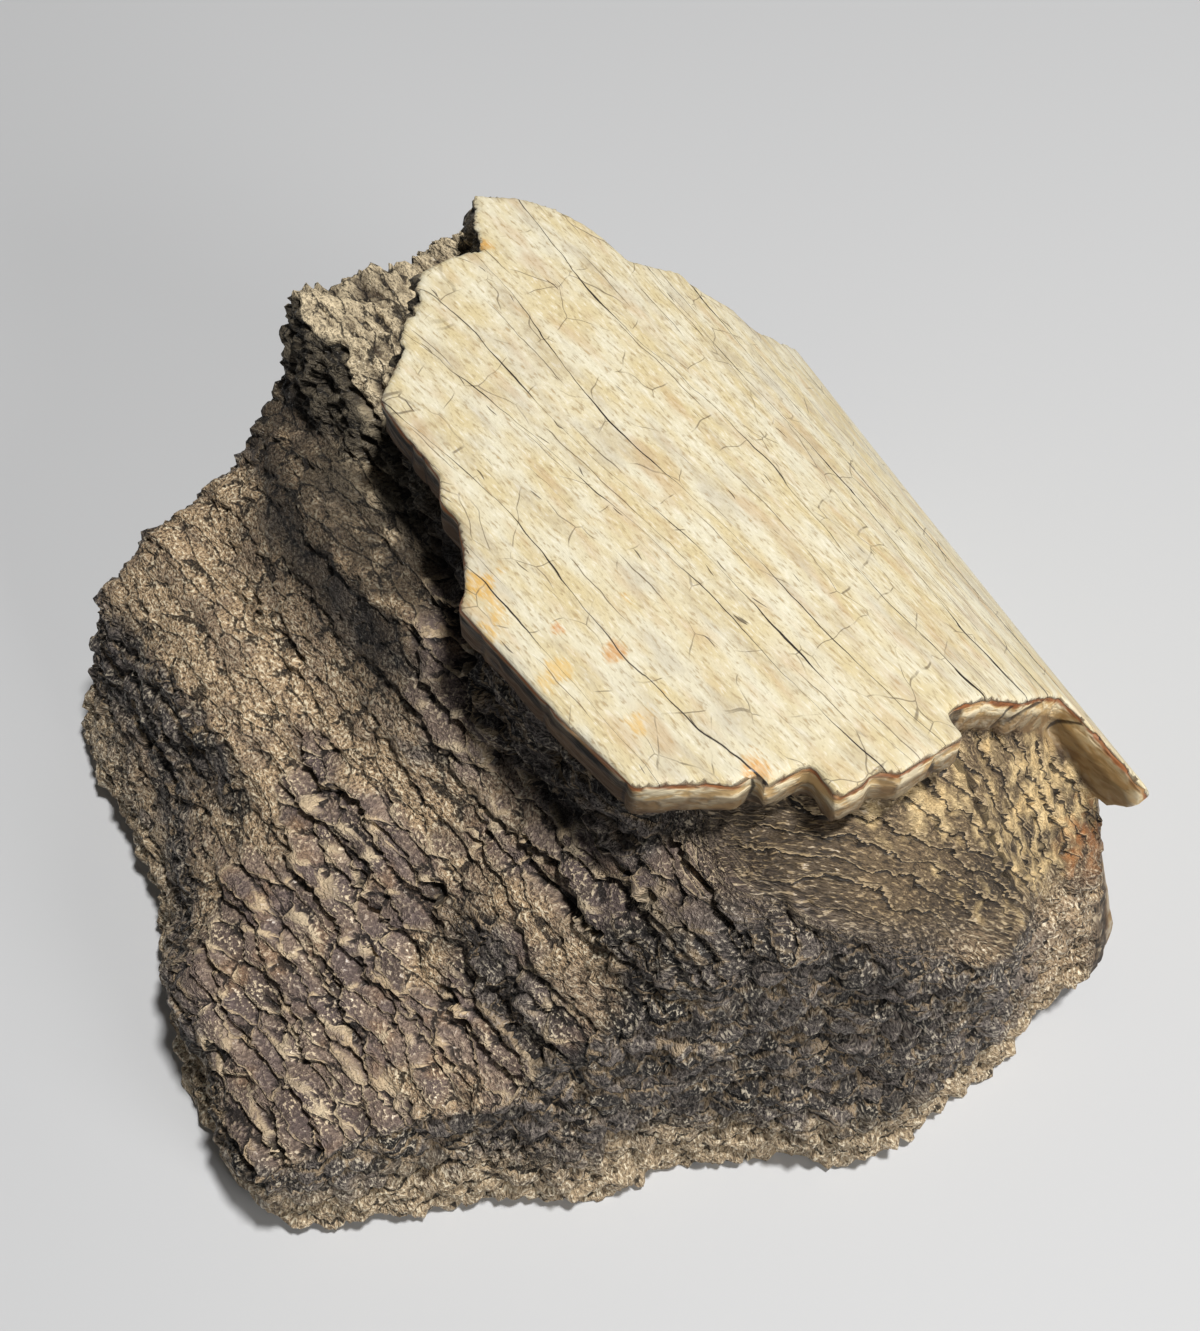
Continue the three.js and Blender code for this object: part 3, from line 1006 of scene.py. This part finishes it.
def spongy_color(tree, cell, grit, cloud):
    """Brown scales with tan rims and painted shade in their grooves and under terrace drops, tan grit
    where crumbly, charcoal where steep.
    """
    rim, groove = rim_and_groove(tree, cell, 0.13, times(tree, minus(tree, grit, 0.5), 0.3))
    line = plus(tree, attribute(tree, "line"), times(tree, minus(tree, grit, 0.5), 0.16))
    _, brow, deep = terrace_edges(tree, line)
    drop = attribute(tree, "drop")
    rim = highest(tree, times(tree, rim, 0.8), times(tree, brow, drop))
    # pale grit specks, which also stand in as painted glints
    speck_and_glint = ramp(tree, grit, 0.52, 0.66)
    pore = ramp(tree, grit, 0.48, 0.36)
    crumbs = crumb_color(tree, speck_and_glint, pore, cloud)
    char = charred_color(tree, cell, rim, speck_and_glint, pore, cloud)
    char = mix(tree, attribute(tree, "tan_side"), char, crumbs)
    # painted shade at the feet of the far block's ridges
    ridge = mix(tree, attribute(tree, "ridge"), RIDGE_FOOT_SHADE, RIDGE_CREST)
    ridge = mix(tree, times(tree, pore, 0.7), ridge, RIDGE_PORE)
    strip = mix(tree, speck_and_glint, STRIP_TAN, STRIP_PALE)
    strip = mix(tree, times(tree, pore, 0.8), strip, STRIP_PORE)
    color = scale_color(tree, cell, rim, speck_and_glint, pore, cloud)
    color = mix(tree, times(tree, attribute(tree, "crumbly"), 0.9), color, crumbs)
    color = mix(tree, attribute(tree, "charred"), color, char)
    color = mix(tree, times(tree, attribute(tree, "far"), 0.85), color, ridge)
    # painted shade under the plate's open edge and at the far block's foot
    color = mix(tree, attribute(tree, "painted_shade"), color, PAINTED_SHADE)
    color = mix(tree, attribute(tree, "base_strip"), color, strip)
    # painted shade in the grooves beside the rims and below each terrace's drop
    dark = highest(tree, times(tree, groove, 0.85), times(tree, deep, drop))
    return mix(tree, dark, color, GROOVE_SHADE)


def layer_color(tree, layer, cloud):
    """Brown layers with paler ones and dark gaps among them, smoky where the ledge is."""
    brown = mix(tree, cloud[0], LAYER_DARK, LAYER_BROWN)
    brown = mix(tree, attribute(tree, "smoky"), brown, LAYER_SMOKY)
    brown = mix(tree, ramp(tree, layer, 0.54, 0.66, 0.0, 0.6), brown, LAYER_PALE)
    return mix(tree, ramp(tree, layer, 0.46, 0.36, 0.0, 0.8), brown, LAYER_GAP)


def wood_color(tree, layer, cloud):
    wood = mix(tree, cloud[2], WOOD_TAN, WOOD_PALE)
    return mix(tree, ramp(tree, layer, 0.46, 0.36, 0.0, 0.6), wood, WOOD_GAP)


def edge_color(tree, depth, cell, layer, cloud):
    """A rust line and tan bone under the outer surface, then brown layers, woody in patches, with
    painted shade below the ledge's steps and along the open side's edge.
    """
    ledge = attribute(tree, "ledge")
    tan = mix(tree, ramp(tree, layer, 0.4, 0.6), EDGE_TAN, EDGE_PALE)
    tan = mix(tree, ramp(tree, cloud[1], 0.5, 0.64, 0.0, 0.7), tan, EDGE_OCHRE)
    inner = ramp(tree, plus(tree, depth, times(tree, cloud[0], 3.0)), 5.0, 6.0)
    color = mix(tree, inner, tan, layer_color(tree, layer, cloud))
    color = mix(tree, attribute(tree, "woody"), color, wood_color(tree, layer, cloud))
    color = mix(tree, attribute(tree, "rusty"), color, RUST_PATCH)
    line = plus(tree, attribute(tree, "layers"), times(tree, minus(tree, layer, 0.5), 0.3))
    _, brow, deep = terrace_edges(tree, line)
    color = mix(tree, times(tree, brow, ledge, 0.6), color, LAYER_BROW)
    # painted shade in the groove below each layer's step
    color = mix(tree, times(tree, deep, ledge, 0.9), color, LAYER_GROOVE_SHADE)
    # painted shade on the open side's broken edge
    open_edge_shade = times(tree, attribute(tree, "open_edge_shade"), ramp(tree, depth, 0.5, 1.2))
    color = mix(tree, open_edge_shade, color, OPEN_EDGE_SHADE)
    ragged = plus(tree, depth, layer)
    foot = times(tree, ramp(tree, ragged, 2.3, 3.0, 0.0, 0.7), ramp(tree, depth, 5.0, 4.0))
    color = mix(tree, foot, color, EDGE_FOOT)
    rust = times(tree, ramp(tree, ragged, 1.5, 1.1, 0.0, 0.9),
                 ramp(tree, cloud[2], 0.36, 0.5, 0.35, 1.0))
    color = mix(tree, rust, color, EDGE_RUST)
    split = times(tree, ramp(tree, cell["wall"], 0.024, 0.008, 0.0, 0.85), rest_of(tree, ledge),
                  ramp(tree, cloud[1], 0.38, 0.5))
    return mix(tree, split, color, EDGE_SPLIT)


def cream_color(tree, fibre, cloud):
    """Cream with fine mottling, and stains whose outline the fibres make ragged."""
    color = mix(tree, ramp(tree, cloud[0], 0.34, 0.66), CREAM, BUFF)
    color = mix(tree, ramp(tree, fibre, 0.53, 0.7, 0.0, 0.7), color, FIBRE_BROWN)
    color = mix(tree, ramp(tree, fibre, 0.46, 0.3, 0.0, 0.6), color, FIBRE_WHITE)
    color = mix(tree, ramp(tree, cloud[1], 0.48, 0.7, 0.0, 0.45), color, MOTTLE_GREY)
    color = mix(tree, ramp(tree, cloud[2], 0.5, 0.72, 0.0, 0.45), color, MOTTLE_TAN)
    ragged = plus(tree, attribute(tree, "stained"), times(tree, minus(tree, fibre, 0.5), 2.4))
    stain = attribute(tree, "stain", vector=True)
    return mix(tree, ramp(tree, ragged, 0.2, 1.3, 0.0, 0.85), color, stain)


def cortex_color(tree, grain, cell, fibre, cloud):
    """Mottled cream with cracks along the grain, a net of hairlines, and short dashes."""
    lines = {name: attribute(tree, name) for name in ("slow", "bend", "opened")}
    long_crack, short_crack, _ = cracks(tree, parts_of(tree, grain)[1], **lines)
    net = times(tree, ramp(tree, cell["wall"], 0.012, 0.004), ramp(tree, lines["opened"], 0.42, 0.55),
                ramp(tree, cloud[0], 0.42, 0.52))
    dash = times(tree, ramp(tree, cell["spot"], 0.19, 0.12), ramp(tree, cell["level"], 0.82, 0.84))
    color = cream_color(tree, fibre, cloud)
    color = mix(tree, times(tree, net, 0.7), color, HAIRLINE)
    color = mix(tree, times(tree, short_crack, 0.8), color, SHORT_CRACK)
    color = mix(tree, times(tree, dash, 0.8), color, DASH_BROWN)
    return mix(tree, long_crack, color, LONG_CRACK)


def fine_noise(tree, at, grain, outer, spongy):
    """One fine noise: grit on spongy bone, fibres on the cortex, layers or streaks on its edge."""
    soft = math_node(tree, "GREATER_THAN", spongy, 0.5)
    ledge = math_node(tree, "GREATER_THAN", attribute(tree, "ledge"), 0.5)
    streaks = in_cells(tree, attribute(tree, "turned", vector=True), STREAK)
    edge = either(tree, ledge, in_cells(tree, grain, LAYER), streaks)
    hard = either(tree, outer, edge, in_cells(tree, grain, FIBRE))
    place = either(tree, soft, hard, in_cells(tree, at, GRIT))
    return noise(tree, place, 1.0, detail=2.0, roughness=0.65)


def bone_material():
    material = bpy.data.materials.new("fossil_bone")
    material.use_nodes = True
    tree = material.node_tree
    tree.nodes.clear()
    grain = attribute(tree, "grain", vector=True)
    depth = parts_of(tree, grain)[2]
    cloud = parts_of(tree, attribute(tree, "cloud", vector=True))
    ragged = plus(tree, depth, minus(tree, cloud[2], 0.5))
    outer = times(tree, attribute(tree, "outer"), ramp(tree, ragged, 0.5, 0.35))
    spongy = attribute(tree, "spongy")
    fine = fine_noise(tree, attribute(tree, "rest", vector=True), grain, outer, spongy)
    place = attribute(tree, "place", vector=True)
    dashes = vector_node(tree, "MULTIPLY", place, tuple(net / dash for net, dash in zip(NET, DASH)))
    cell = cells(tree, place, attribute(tree, "steep"), either(tree, outer, place, dashes))
    color = mix(tree, spongy, edge_color(tree, depth, cell, fine, cloud),
                spongy_color(tree, cell, fine, cloud))
    color = mix(tree, outer, color, cortex_color(tree, grain, cell, fine, cloud))
    bump_height = ramp(tree, outer, 0.0, 1.0, GRIT_HEIGHT, FIBRE_HEIGHT)
    bumps = times(tree, ramp(tree, fine, 0.34, 0.66), bump_height)
    bump = add(tree, "ShaderNodeBump", {"Strength": 1.0, "Distance": MM, "Height": bumps})
    shader = add(tree, "ShaderNodeBsdfPrincipled", {"Base Color": color, "Normal": bump.outputs[0]})
    put(tree, shader.inputs["Roughness"], ramp(tree, fine, 0.42, 0.64, *ROUGHNESS))
    add(tree, "ShaderNodeOutputMaterial", {"Surface": shader.outputs[0]})
    return material


# ---- stage, light and camera ------------------------------------------------------------

def floor():
    mesh = bpy.data.meshes.new("floor")
    r = FLOOR_REACH
    mesh.from_pydata([(-r, -r, 0), (r, -r, 0), (r, r, 0), (-r, r, 0)], [], [(0, 1, 2, 3)])
    obj = piece_from(mesh, "floor")
    material = bpy.data.materials.new("pale_floor")
    material.use_nodes = True
    shader = material.node_tree.nodes["Principled BSDF"]
    shader.inputs["Base Color"].default_value = FLOOR_GREY
    shader.inputs["Roughness"].default_value = 0.6
    mesh.materials.append(material)


def area_light(name, place, size, power):
    """A round lamp that faces the origin."""
    data = bpy.data.lights.new(name, "AREA")
    data.shape = "DISK"
    data.size = size
    data.energy = power
    data.color = WARM_WHITE
    obj = bpy.data.objects.new(name, data)
    bpy.context.scene.collection.objects.link(obj)
    obj.location = place
    obj.rotation_mode = "QUATERNION"
    obj.rotation_quaternion = (-Vector(place)).to_track_quat("-Z", "Y")


def lights():
    area_light("key", **KEY_LIGHT)
    area_light("fill", **FILL_LIGHT)
    world = bpy.data.worlds.new("studio")
    bpy.context.scene.world = world
    world.use_nodes = True
    background = world.node_tree.nodes["Background"]
    background.inputs["Color"].default_value = SKY_WHITE
    background.inputs["Strength"].default_value = SKY_STRENGTH
    bpy.context.scene.view_settings.view_transform = "Standard"


def camera():
    """Looks down at the fragment from over its open side and near end."""
    azimuth, elevation = math.radians(CAMERA_AZIMUTH), math.radians(CAMERA_ELEVATION)
    back = Vector((math.sin(azimuth) * math.cos(elevation),
                   -math.cos(azimuth) * math.cos(elevation), math.sin(elevation)))
    data = bpy.data.cameras.new("camera")
    data.sensor_width = 36
    data.lens = CAMERA_LENS
    data.clip_start, data.clip_end = 0.01, 10
    obj = bpy.data.objects.new("camera", data)
    bpy.context.scene.collection.objects.link(obj)
    obj.location = Vector(CAMERA_TARGET) + back * CAMERA_DISTANCE
    obj.rotation_mode = "QUATERNION"
    obj.rotation_quaternion = (-back).to_track_quat("-Z", "Y")
    bpy.context.scene.camera = obj


camera()
lights()
floor()
bone = bone_piece(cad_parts["bone_fragment"], bone_material())
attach(bone, "root")
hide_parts("bone_fragment")
